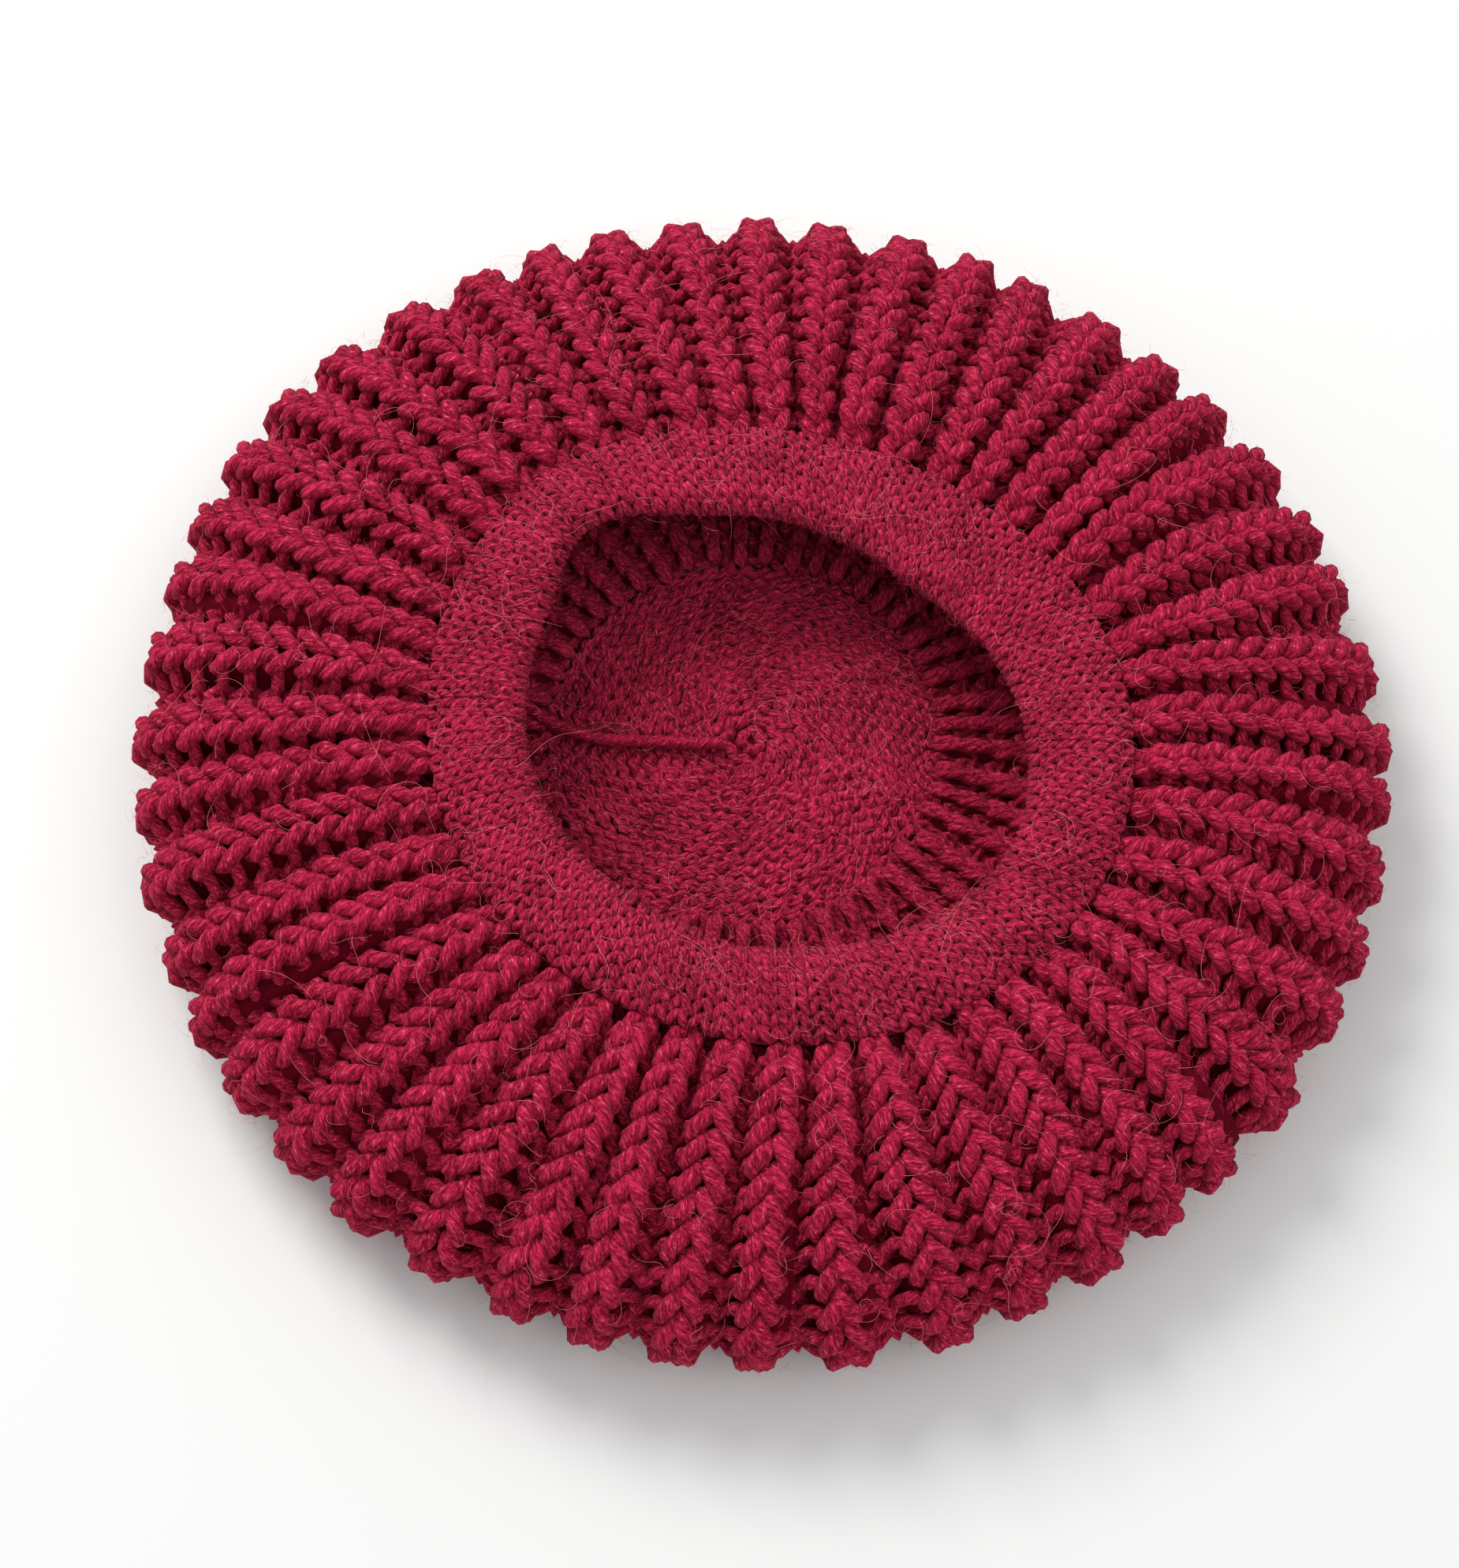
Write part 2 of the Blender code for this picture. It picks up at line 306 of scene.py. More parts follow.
EDGE_CENTRE = middle_of_edge()
CROWN_MIDDLE = EDGE_CENTRE + CROWN_CENTRE
SEAM_HEIGHT = FLOOR_LEVEL + HALF_GAP + STATIONS[0].rise * BODY_RISE
SEAM = (SEAM_RADIUS, SEAM_DENTS, EDGE_CENTRE + SEAM_CENTRE)
EDGE = (EDGE_RADIUS, EDGE_DENTS, EDGE_CENTRE)
CROWN = (CROWN_RADIUS, CROWN_DENTS, CROWN_MIDDLE)
OPENING = (OPENING_RADIUS, OPENING_DENTS, EDGE_CENTRE + OPENING_CENTRE)


def smooth(points, count):
    """Even samples of a smooth curve through these points, and their shares of its length."""
    points = np.asarray(points, float)
    ends = np.vstack((2 * points[:1] - points[1:2], points, 2 * points[-1:] - points[-2:-1]))
    steps = np.linspace(0, 1, count, endpoint=False)[:, None]
    fine = []
    for a, b, c, d in zip(ends, ends[1:], ends[2:], ends[3:]):
        pull = (c - a) * steps + (2 * a - 5 * b + 4 * c - d) * steps**2
        pull += (3 * b - a - 3 * c + d) * steps**3
        fine.append(b + pull / 2)
    fine.append(points[-1:])
    return np.vstack(fine)


def walked_along(line):
    """How far each point of this line lies from its first."""
    return np.concatenate(((0,), np.cumsum(np.linalg.norm(np.diff(line, axis=0), axis=1))))


def wall_table():
    """The wall's stations at even steps of its length, a little past both ends."""
    fine = smooth(STATIONS, 40)
    reach = fine[:, 0] * SEAM_RADIUS + fine[:, 1] * EDGE_RADIUS + fine[:, 2] * CROWN_RADIUS
    walked = walked_along(np.stack((reach, fine[:, 3] * BODY_RISE), -1))
    past = 0.006
    first = fine[0] + (fine[0] - fine[4]) * past / walked[4]
    last = fine[-1] + (fine[-1] - fine[-5]) * past / (walked[-1] - walked[-5])
    fine = np.vstack((first, fine, last))
    walked = np.concatenate(((-past,), walked, (walked[-1] + past,)))
    return walked, fine


WALL_LENGTHS, WALL_STATIONS = wall_table()
WALL_LENGTH = WALL_LENGTHS[-2]


def wall_station(length, column):
    """One column of the wall's table at these lengths from the seam."""
    return np.interp(length, WALL_LENGTHS, WALL_STATIONS[:, column])


def wall_point(length, angle):
    """The middle of the ribbed wall."""
    place = 0
    for column, form in enumerate((SEAM, EDGE, CROWN)):
        place = place + wall_station(length, column)[..., None] * outline(*form, angle)
    height = FLOOR_LEVEL + wall_station(length, 3) * BODY_RISE
    return np.concatenate((place, height[..., None]), -1)


def band_table():
    """Angles round the band's section at even steps from its hidden end, round the fold, to the seam."""
    corners = np.radians(np.linspace(*BAND_SWEEP, 400))
    across, upward = band_section(corners)
    width = SEAM_RADIUS - OPENING_RADIUS
    line = np.stack((across * width / 2, upward * (BAND_THICKNESS / 2 - BAND_INSET)), -1)
    return walked_along(line), corners


def band_section(corner):
    """The band's squared section: across is 1 at the seam and -1 at the opening."""
    power = 2 / BAND_ROUNDING
    across = np.sign(np.cos(corner)) * np.abs(np.cos(corner)) ** power
    upward = np.sign(np.sin(corner)) * np.abs(np.sin(corner)) ** power
    return across, upward


BAND_LENGTHS, BAND_CORNERS = band_table()
BAND_LENGTH = BAND_LENGTHS[-1]


def band_point(length, angle):
    """The middle of one of the band's two layers."""
    across, upward = band_section(np.interp(length, BAND_LENGTHS, BAND_CORNERS))
    width = SEAM_RADIUS - OPENING_RADIUS
    share = (1 - across * (1 - 2 * BAND_INSET / width)) / 2
    place = outline(*SEAM, angle) * (1 - share)[..., None] + outline(*OPENING, angle) * share[..., None]
    fold = OPENING_LIFT + BAND_THICKNESS * dented(OPENING_FOLDS, angle)
    height = SEAM_HEIGHT + share * fold + BAND_ARCH * np.sin(math.pi * share)
    height = height + upward * (BAND_THICKNESS / 2 - BAND_INSET)
    return np.concatenate((place, height[..., None]), -1)


def unit(vectors):
    """These vectors at a length of 1."""
    return vectors / np.linalg.norm(vectors, axis=-1, keepdims=True)


def facing(surface, length, angle):
    """The outward direction of a surface at these places."""
    step, turn = 0.0008, 0.004
    along = surface(length + step, angle) - surface(length - step, angle)
    around = surface(length, angle + turn) - surface(length, angle - turn)
    return unit(np.cross(along, around))


# Yarn

def unevenness(length, angle, seed):
    """Slow waves over the fabric, mostly within -1 to 1, for what a hand does unevenly."""
    chance = np.random.default_rng(seed)
    total = np.zeros(np.broadcast(length, angle).shape)
    waves = 9
    for _ in range(waves):
        turns = chance.integers(1, 22)
        stretch = chance.uniform(-70, 70)
        phase = chance.uniform(0, 2 * math.pi)
        total = total + np.sin(turns * angle + stretch * length + phase)
    return total / math.sqrt(waves)


def tube(paths, ups, radii, sides, closed, first=0):
    """Vertices, faces and (length, way round) of tubes along these paths, one to a row."""
    rows, steps = paths.shape[:2]
    if closed:
        ahead = np.roll(paths, -1, 1) - np.roll(paths, 1, 1)
        runs = np.linalg.norm(np.roll(paths, -1, 1) - paths, axis=-1)
    else:
        ahead = np.gradient(paths, axis=1)
        runs = np.linalg.norm(np.diff(paths, axis=1), axis=-1)
    ahead = unit(ahead)
    beside = unit(np.cross(ahead, ups))
    above = np.cross(beside, ahead)
    turns = 2 * math.pi * np.arange(sides) / sides - math.pi / 2
    spread = beside[:, :, None] * np.cos(turns)[:, None] + above[:, :, None] * np.sin(turns)[:, None]
    points = paths[:, :, None] + spread * radii[..., None, None]
    walked = np.concatenate((np.zeros((rows, 1)), np.cumsum(runs, 1)), 1)

    spans = runs.shape[1]
    row, step, side = np.meshgrid(np.arange(rows), np.arange(spans), np.arange(sides), indexing="ij")
    after, beyond = (step + 1) % steps, (side + 1) % sides
    index = (row * steps + step) * sides
    index_after = (row * steps + after) * sides
    faces = np.stack((index + side, index_after + side, index_after + beyond, index + beyond), -1)
    here, there = walked[row, step], walked[row, step + 1]
    low, high = side / sides, (side + 1) / sides
    corners = np.stack(
        (np.stack((here, low), -1), np.stack((there, low), -1),
         np.stack((there, high), -1), np.stack((here, high), -1)), -2)
    return points.reshape(-1, 3), faces.reshape(-1, 4) + first, corners.reshape(-1, 4, 2)


def place_piece(name, mesh, material, replaced=()):
    """An object that rides on the body, and hides the solids that it replaces."""
    mesh.shade_smooth()
    mesh.materials.append(material)
    piece = bpy.data.objects.new(name, mesh)
    bpy.context.scene.collection.objects.link(piece)
    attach(piece, BODY)
    if replaced:
        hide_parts(*replaced)
    return piece


def add_piece(name, parts, material, replaced=()):
    """One object from tubes of yarn."""
    points = np.concatenate([p[0] for p in parts])
    faces = np.concatenate([p[1] for p in parts])
    corners = np.concatenate([p[2] for p in parts])
    mesh = bpy.data.meshes.new(name)
    mesh.from_pydata(points.tolist(), [], faces.tolist())
    mesh.uv_layers.new(name="yarn").data.foreach_set("uv", corners.reshape(-1))
    return place_piece(name, mesh, material, replaced)


def loop(turn, period, base, head):
    """Place of the yarn across its column: base and head are where the loop's legs start and end."""
    widen = (base + head - period / 2) / math.sqrt(2)
    lean = head - period / 8 - widen / math.sqrt(2)
    return period * (turn / (2 * math.pi) - 0.5) - widen * np.sin(turn) + lean * np.sin(2 * turn)


def settle(turn):
    """0 where one stitch passes into the next, and 1 in the rest of the loop."""
    return 1 - np.cos(turn / 2) ** 8


def blend(value, low, high):
    """Smooth step from 0 at low to 1 at high."""
    share = np.clip((value - low) / (high - low), 0, 1)
    return share * share * (3 - 2 * share)


def rib_relief(knit, length, from_crest, knit_share):
    """Height of the fabric's middle above the smooth wall: from_crest is a share of the pitch."""
    flank = knit_share / 2 + FLANK_ROOM
    rise = np.tanh((flank - from_crest) / FLANK_WIDTH)
    return knit.rib_depth * wall_station(length, 4) * np.where(rise > 0, rise, VALLEY_DEPTH * rise)


def rib_pitch(length):
    """Mean distance from rib to rib on the wall, at these lengths from the seam."""
    around = np.linspace(0, 2 * math.pi, 2 * RIB_COUNT + 1)[None] + 0 * length[:, None]
    ring = wall_point(length[:, None] + 0 * around, around)
    return np.linalg.norm(np.diff(ring, axis=1), axis=-1).sum(1) / RIB_COUNT


def knit_part(length):
    """The share of the pitch that the knit stitch takes, which is the crest of the rib."""
    under = blend(length / WALL_LENGTH, *UNDER)
    return np.minimum(KNIT_SHARE, WIDEST_KNIT / rib_pitch(length)) * (1 - under) + UNDER_SHARE * under


def stitch_turns(samples):
    """Even turns through one stitch."""
    return 2 * math.pi * np.arange(samples) / samples


def worked(stitch, hand, across, turn, chance, shape):
    """A stitch as the hand works it: place across its column, reach, slip in depth and thickness."""
    top = np.sin(turn / 2) ** 2
    across = across + chance.normal(0, hand.head, shape) * top
    if hand.leg:
        across = across + chance.normal(0, hand.leg, shape) * np.sin(turn)
    reach = stitch.reach + chance.normal(0, hand.reach, shape) * top
    slip = chance.normal(0, hand.depth, shape) * top
    return across, reach, slip, stitch.plump + hand.plump * chance.normal(0, 1, shape)


def rib_stitches(sign, samples, middle, height, knit, chance):
    """Place and thickness of one kind of stitch in every rib: sign is 1 for knit and -1 for purl."""
    radius = knit.rib_yarn / 2
    pitch = rib_pitch(middle)
    under = blend(middle / WALL_LENGTH, *UNDER)[:, None, None]
    knit_share = knit_part(middle)[:, None, None]
    head = (np.clip(pitch / 2 - HALF_VALLEY - radius, *KNIT_HEAD) / pitch)[:, None, None]
    share = knit_share
    if sign < 0:
        head = head * (PURL_HEAD[0] * (1 - under) + PURL_HEAD[1] * under)
        share = 1 - knit_share
    turn = stitch_turns(samples)[None, None, :]
    across, reach, slip, plump = worked(
        RIB_STITCH, RIB_HAND, loop(turn, share, RIB_STITCH.base * head, head), turn, chance,
        (len(middle), RIB_COUNT, 1))
    rib = np.arange(RIB_COUNT)[None, :, None]
    angle = (rib + (0 if sign > 0 else 0.5) + across) * 2 * math.pi / RIB_COUNT
    length = middle[:, None, None] - reach * height * np.cos(turn)
    length = length + height * RIB_SLANT * sign * np.sin(turn)
    from_crest = np.abs(across) if sign > 0 else 0.5 - np.abs(across)
    swell = radius * (RIB_STITCH.swell - UNDER_FLATTER * under)
    depth = rib_relief(knit, length, from_crest, knit_share)
    depth = depth - sign * swell * np.cos(2 * turn) * settle(turn) + slip
    plump = plump + RIB_STITCH.bulge * np.sin(turn) ** 4
    thin = np.clip(pitch / FULL_PITCH, THINNEST, 1.0)[:, None, None]
    return np.broadcast_arrays(length, angle, depth, radius * thin * plump)


def rib_courses(courses, knit, samples):
    """Rings of yarn through the ribs: paths, facing and radii for these courses."""
    total = round(WALL_LENGTH / knit.rib_course)
    height = WALL_LENGTH / total
    middle = (courses + 0.5) * height - WALL_TUCK * (1 - courses / total)
    kinds = []
    for sign, count in zip((1, -1), samples):
        chance = np.random.default_rng(knit.seed + sign + int(courses[0]) * 10)
        kinds.append(rib_stitches(sign, count, middle, height, knit, chance))
    length, angle, depth, thickness = (
        np.concatenate(both, 2).reshape(len(middle), -1) for both in zip(*kinds))
    angle = angle + unevenness(length, angle, knit.seed + 20) * RIB_HAND.turn
    length = length + unevenness(length, angle, knit.seed + 21) * RIB_HAND.creep
    depth = depth + unevenness(length, angle, knit.seed + 22) * RIB_HAND.lift - RIB_INSET
    ups = facing(wall_point, length, angle)
    path = wall_point(length, angle) + ups * depth[..., None]
    path[..., 2] = np.maximum(path[..., 2], thickness)
    return path, ups, thickness


def fold_course(total):
    """The course that runs along the headband's fold, between its two layers."""
    return total // 2 - 1


def band_courses(courses, knit, samples):
    """Rings of yarn through the headband, from its hidden end round the fold to the ribs."""
    stitch, hand = BAND_STITCH, BAND_HAND
    total = round(BAND_LENGTH / knit.band_course)
    height = BAND_LENGTH / total
    radius = knit.band_yarn / 2
    middle = ((courses + 0.5) * height)[:, None, None]
    sign = np.where(courses == fold_course(total), -1.0, 1.0)[:, None, None]
    turn = stitch_turns(samples)[None, None, :]
    column = np.arange(BAND_COLUMNS)[None, :, None]
    chance = np.random.default_rng(knit.seed + 40)
    across, reach, slip, plump = worked(
        stitch, hand, loop(turn, 1.0, stitch.base, stitch.head), turn, chance,
        (len(courses), BAND_COLUMNS, 1))
    angle = (column + across) * 2 * math.pi / BAND_COLUMNS
    length = middle - reach * height * np.cos(turn)
    depth = -sign * radius * stitch.swell * np.cos(2 * turn) + slip
    plump = plump + stitch.bulge * np.sin(turn) ** 2
    thickness = radius * plump * np.where(sign < 0, FOLD_PLUMP, 1.0)
    length, angle, depth, thickness = (
        part.reshape(len(courses), -1)
        for part in np.broadcast_arrays(length, angle, depth, thickness))
    angle = angle + unevenness(length, angle, knit.seed + 41) * hand.turn
    length = length + unevenness(length, angle, knit.seed + 42) * hand.creep
    length = np.clip(length, END_ROOM, BAND_LENGTH - END_ROOM)
    ups = facing(band_point, length, angle)
    return band_point(length, angle) + ups * depth[..., None], ups, thickness


def crown_course(course, total, knit, samples):
    """One ring of yarn through the crown, seen from its purl side, with the swirl of decreases."""
    stitch, hand = CROWN_STITCH, CROWN_HAND
    height = CROWN_RADIUS / total
    radius = knit.crown_yarn / 2
    middle = CROWN_RADIUS - (course + 0.5) * height
    stitches = CROWN_WEDGES * max(1, round(CROWN_RIM_STITCHES * middle / CROWN_RADIUS))
    turn = stitch_turns(samples)[None, :]
    column = np.arange(stitches)[:, None]
    chance = np.random.default_rng(knit.seed + 60 + course)
    across, reach, slip, plump = worked(
        stitch, hand, loop(turn, 1.0, stitch.base, stitch.head), turn, chance, (stitches, 1))
    distance = np.clip(middle + reach * height * np.cos(turn), CROWN_HOLE, CROWN_RADIUS + height / 2)
    swirl = math.pi / CROWN_WEDGES * np.log(CROWN_RADIUS / np.maximum(distance, SWIRL_END))
    angle = (column + 0.5 + across) * 2 * math.pi / stitches + swirl
    wedge = (column % (stitches // CROWN_WEDGES)) == 0
    depth = radius * stitch.swell * np.cos(2 * turn) - wedge * WEDGE_SINK * np.sin(turn / 2) ** 2 + slip
    thickness = radius * (plump + stitch.bulge * np.cos(2 * turn))
    distance, angle, depth, thickness = (
        part.reshape(1, -1) for part in np.broadcast_arrays(distance, angle, depth, thickness))
    distance = distance + unevenness(distance, angle, knit.seed + 61) * hand.creep
    reach = distance * (1 + dented(CROWN_DENTS, angle) * distance / CROWN_RADIUS)
    place = CROWN_MIDDLE + reach[..., None] * compass(angle)
    level = CROWN_THICKNESS / 2 - CROWN_SINK + depth
    level = level + unevenness(distance, angle, knit.seed + 62) * hand.lift
    path = np.concatenate((place, np.maximum(level, radius)[..., None]), -1)
    return path, straight_up(path), thickness


def straight_up(path):
    """The upward direction for each point of this path."""
    return np.zeros_like(path) + (0.0, 0.0, 1.0)


# Materials

def set_inputs(tree, node, inputs):
    """Give a node its inputs, as values or as sockets to link from."""
    for key, value in inputs.items():
        if isinstance(value, bpy.types.NodeSocket):
            tree.links.new(value, node.inputs[key])
        else:
            node.inputs[key].default_value = value


def add_node(tree, kind, settings=None, inputs=None):
    """A node with its settings and inputs."""
    node = tree.nodes.new(kind)
    for key, value in (settings or {}).items():
        setattr(node, key, value)
    set_inputs(tree, node, inputs or {})
    return node


def calc(tree, operation, *values, clamp=False):
    """The result of one math node: values are numbers or sockets."""
    node = add_node(tree, "ShaderNodeMath", {"operation": operation, "use_clamp": clamp},
                    dict(enumerate(values)))
    return node.outputs[0]


def noise(tree, vector, scale, detail, **more):
    """Fine random variation over the fabric."""
    node = add_node(tree, "ShaderNodeTexNoise", {},
                    {"Vector": vector, "Scale": scale, "Detail": detail, **more})
    return node.outputs["Fac"]


def colour_mix(tree, share, under, over):
    """One colour over another by this share: over is a colour, under a colour or a socket."""
    if not isinstance(under, bpy.types.NodeSocket):
        under = (*under, 1)
    node = add_node(tree, "ShaderNodeMix", {"data_type": "RGBA"},
                    {"Factor": share, "A": under, "B": (*over, 1)})
    return node.outputs["Result"]


def new_material(name):
    """A plain material to give a look, and its node tree."""
    material = bpy.data.materials.new(name)
    material.use_nodes = True
    return material, material.node_tree


def finish_material(material, colour, roughness, specular, **more):
    """Give a material its colour, and its roughness and shine, which are the same all over."""
    tree = material.node_tree
    inputs = {"Base Color": colour, "Roughness": roughness, "Specular IOR Level": specular}
    set_inputs(tree, tree.nodes["Principled BSDF"], {**inputs, **more})
    return material


FIBRE_STRETCH = 190.0  # for each metre of yarn, against 1 across a ply
FIBRE_SCALE = 4.6
BLOOM_SCALE = 1500.0
PATCH_SCALE = 120.0
GAP_SHADE_MOTTLE_SCALE = 900.0
DYE_SCALE = 60.0

# What differs between yarns: the length of one turn of the plies, how deep the grooves between plies
# are, and how much painted shade darkens a strand down its sides.
Spun = namedtuple("Spun", "turn_length ply_depth side_shade")
RIB_SPUN = Spun(turn_length=RIB_TWIST, ply_depth=0.00032, side_shade=0.42)
BAND_SPUN = Spun(turn_length=BAND_TWIST, ply_depth=0.00040, side_shade=0.66)


def worsted_wool(name, light, deep, pale, spun):
    """Worsted wool, spun and plied: round plies with fine fibres along them, dull, with a soft bloom.

    The eye gets slanting ridges that shine a little, with painted highlights on them and painted shade in the
    grooves between them and down the strands' sides.
    """
    material, tree = new_material(name)
    where = add_node(tree, "ShaderNodeUVMap", {"uv_map": "yarn"})
    parts = add_node(tree, "ShaderNodeSeparateXYZ", inputs={"Vector": where.outputs["UV"]})
    length, round_yarn = parts.outputs["X"], parts.outputs["Y"]

    # Place across the plies: whole numbers fall in the grooves between them
    advance = calc(tree, "MULTIPLY", length, PLIES / spun.turn_length)
    spread = calc(tree, "MULTIPLY_ADD", round_yarn, -float(PLIES), advance)
    swing = calc(tree, "MULTIPLY_ADD", calc(tree, "FRACT", spread), 2.0, -1.0)
    ridge = calc(tree, "SUBTRACT", 1.0, calc(tree, "MULTIPLY", swing, swing))

    # Fibres run along the plies, in clumps about 0.5 mm wide with finer lines in them
    stretch = calc(tree, "MULTIPLY", length, FIBRE_STRETCH)
    fibre_place = add_node(tree, "ShaderNodeCombineXYZ", inputs={"X": stretch, "Y": spread})
    fibres = add_node(
        tree, "ShaderNodeTexNoise", {"noise_dimensions": "2D"},
        {"Vector": fibre_place.outputs[0], "Scale": FIBRE_SCALE, "Detail": 4.0, "Roughness": 0.7},
    ).outputs["Fac"]
    place = add_node(tree, "ShaderNodeTexCoord").outputs["Object"]
    bloom = noise(tree, place, BLOOM_SCALE, 3.0, Roughness=0.6)
    patches = noise(tree, place, PATCH_SCALE, 2.0)

    # Painted shade: a strand is darkened towards deep red down both its sides, where it lies against the next
    # strand; its top and its underside stay unshaded
    side = calc(tree, "PINGPONG", round_yarn, 0.25)
    side = calc(tree, "MULTIPLY", side, side)
    side = calc(tree, "MULTIPLY_ADD", side, -16 * spun.side_shade, 1.0, clamp=True)

    # Painted highlight on the plies' ridges and painted shade in the grooves between them, over the fibres'
    # and the dye's uneven tone
    tone_and_painted_light = calc(tree, "MULTIPLY_ADD", fibres, 4.2, -1.74, clamp=True)
    tone_and_painted_light = calc(tree, "MULTIPLY_ADD", bloom, 0.8, tone_and_painted_light, clamp=True)
    tone_and_painted_light = calc(tree, "SUBTRACT", tone_and_painted_light, 0.32, clamp=True)
    tone_and_painted_light = calc(tree, "MULTIPLY", tone_and_painted_light, calc(tree, "MULTIPLY_ADD", ridge, 0.6, 0.4), clamp=True)
    tone_and_painted_light = calc(tree, "MULTIPLY_ADD", patches, 0.5, tone_and_painted_light, clamp=True)
    tone_and_painted_light = calc(tree, "SUBTRACT", tone_and_painted_light, 0.24, clamp=True)
    tone_and_painted_light = calc(tree, "MULTIPLY", tone_and_painted_light, side, clamp=True)
    colour = colour_mix(tree, tone_and_painted_light, deep, light)

    # Sparse streaks along the fibres take the pale colour, fewer down the strands' sides
    pale_share = calc(tree, "MULTIPLY_ADD", fibres, 6.0, -3.75, clamp=True)
    pale_share = calc(tree, "MULTIPLY", pale_share, side, clamp=True)
    colour = colour_mix(tree, pale_share, colour, pale)

    rise = calc(tree, "MULTIPLY_ADD", fibres, 1.1, ridge)
    rise = calc(tree, "MULTIPLY_ADD", bloom, 0.7, rise)
    bump = add_node(tree, "ShaderNodeBump", {}, {"Height": rise, "Distance": spun.ply_depth, "Strength": 1.0})
    soft_bloom = {"Sheen Weight": 0.06, "Sheen Roughness": 0.45, "Sheen Tint": (*linear("#F2A0B0"), 1)}
    return finish_material(
        material, colour, roughness=0.85, specular=0.1, Normal=bump.outputs["Normal"], **soft_bloom)


def matted_wool(name, colour):
    """A dull, dark sheet behind the loops that shows only in the gaps: painted shade there, with a random
    mottle.
    """
    material, tree = new_material(name)
    place = add_node(tree, "ShaderNodeTexCoord").outputs["Object"]
    dark = tuple(c * 0.35 for c in colour)
    mixed = colour_mix(tree, noise(tree, place, GAP_SHADE_MOTTLE_SCALE, 4.0), dark, colour)
    return finish_material(material, mixed, roughness=1.0, specular=0.05)


def single_fibre(name, colour):
    """One wool fibre: it shines more than the yarn, so it catches the light in front of it."""
    material, tree = new_material(name)
    place = add_node(tree, "ShaderNodeTexCoord").outputs["Object"]
    red = tuple(c * s for c, s in zip(colour, (0.9, 0.45, 0.5)))
    mixed = colour_mix(tree, noise(tree, place, DYE_SCALE, 1.0), red, colour)
    return finish_material(material, mixed, roughness=0.5, specular=0.5)


def wool_of(name, make, *rest):
    """A material made once and shared."""
    found = bpy.data.materials.get(name)
    return found if found else make(name, *rest)


def rib_wool(scene):
    """The wool of the ribs and of the yarn's free end."""
    wool = scene.beret_wool
    return wool_of("worsted_wool_ribs", worsted_wool, wool.light[:], wool.deep[:], wool.hair[:], RIB_SPUN)


# Small stitches blur at arm's length, so their wool is drawn a little bolder: lighter painted highlights and
# darker painted shade
FINE_LIGHT = 1.30
FINE_DEEP = 0.55


def band_wool(scene):
    """The same wool as it shows in the small stitches of the headband and the crown, with lighter painted
    highlights, darker painted shade between the plies and stronger painted shade down the strands' sides.
    """
    wool = scene.beret_wool
    light = [c * FINE_LIGHT for c in wool.light]
    deep = [c * FINE_DEEP for c in wool.deep]
    return wool_of("worsted_wool_band", worsted_wool, light, deep, wool.hair[:], BAND_SPUN)


def gap_shade_material(scene):
    """The dark sheet of painted shade between the loops."""
    return wool_of("matted_wool", matted_wool, scene.beret_wool.core[:])


# Operators

FLOOR_SIZE = 4.0
CAMERA_TARGET = Vector((-0.0068, -0.0098, 0.018))
CAMERA_LENS = 63.4  # millimetres
CAMERA_SENSOR = 36  # millimetres
SKY_COLOUR = (0.93, 0.96, 1.0)
SKY_STRENGTH = 0.68
Lamp = namedtuple("Lamp", "name place size power")
LAMPS = (
    Lamp(name="window", place=(-0.7, 0.9, 1.1), size=0.7, power=20.5),
    Lamp(name="fill", place=(0.9, -0.6, 1.3), size=1.2, power=5.5),
)


def lay_floor(context, colour):
    """A wide floor of matt, pale paper, which takes soft shadows and doesn't shine."""
    bpy.ops.mesh.primitive_plane_add(size=FLOOR_SIZE)
    floor = context.object
    floor.name = "floor"
    paper, _ = new_material("matt_paper")
    floor.data.materials.append(finish_material(paper, (*colour, 1), roughness=0.9, specular=0.5))


def set_camera(scene, elevation, distance):
    """The camera looks down at the beret from the near side."""
    away = Vector((0, -math.cos(elevation), math.sin(elevation)))
    data = bpy.data.cameras.new("camera")
    data.sensor_width = CAMERA_SENSOR
    data.lens = CAMERA_LENS
    camera = bpy.data.objects.new("camera", data)
    camera.location = CAMERA_TARGET + away * distance
    camera.rotation_euler = away.to_track_quat("Z", "Y").to_euler()
    scene.collection.objects.link(camera)
    scene.camera = camera


def light_studio(scene):
    """A soft sky, and two wide lamps that face the beret."""
    world = bpy.data.worlds.new("studio")
    world.use_nodes = True
    tree = world.node_tree
    set_inputs(tree, tree.nodes["Background"], {"Color": (*SKY_COLOUR, 1), "Strength": SKY_STRENGTH})
    scene.world = world
    for lamp in LAMPS:
        data = bpy.data.lights.new(lamp.name, "AREA")
        data.size = lamp.size
        data.energy = lamp.power
        light = bpy.data.objects.new(lamp.name, data)
        light.location = lamp.place
        light.rotation_euler = Vector(lamp.place).to_track_quat("Z", "Y").to_euler()
        scene.collection.objects.link(light)


class BERET_OT_stage(bpy.types.Operator):
    """Lay the pale floor and set the camera and the soft light"""

    bl_idname = "beret.stage"
    bl_label = "Stage"

    def execute(self, context):
        scene = context.scene
        stage = scene.beret_stage
        lay_floor(context, stage.floor[:])
        set_camera(scene, stage.elevation, stage.distance)
        light_studio(scene)
        scene.view_settings.view_transform = "Standard"
        return {"FINISHED"}


def tail_line():
    """The free end's middle line, at the same points as the solid's."""
    base = CROWN_THICKNESS + YARN_DIAMETER / 2
    route = [(CROWN_MIDDLE[0] + p.along, CROWN_MIDDLE[1] + p.across, base + p.lift) for p in TAIL_ROUTE]
    fine = smooth(route, 24)
    return fine, walked_along(fine)


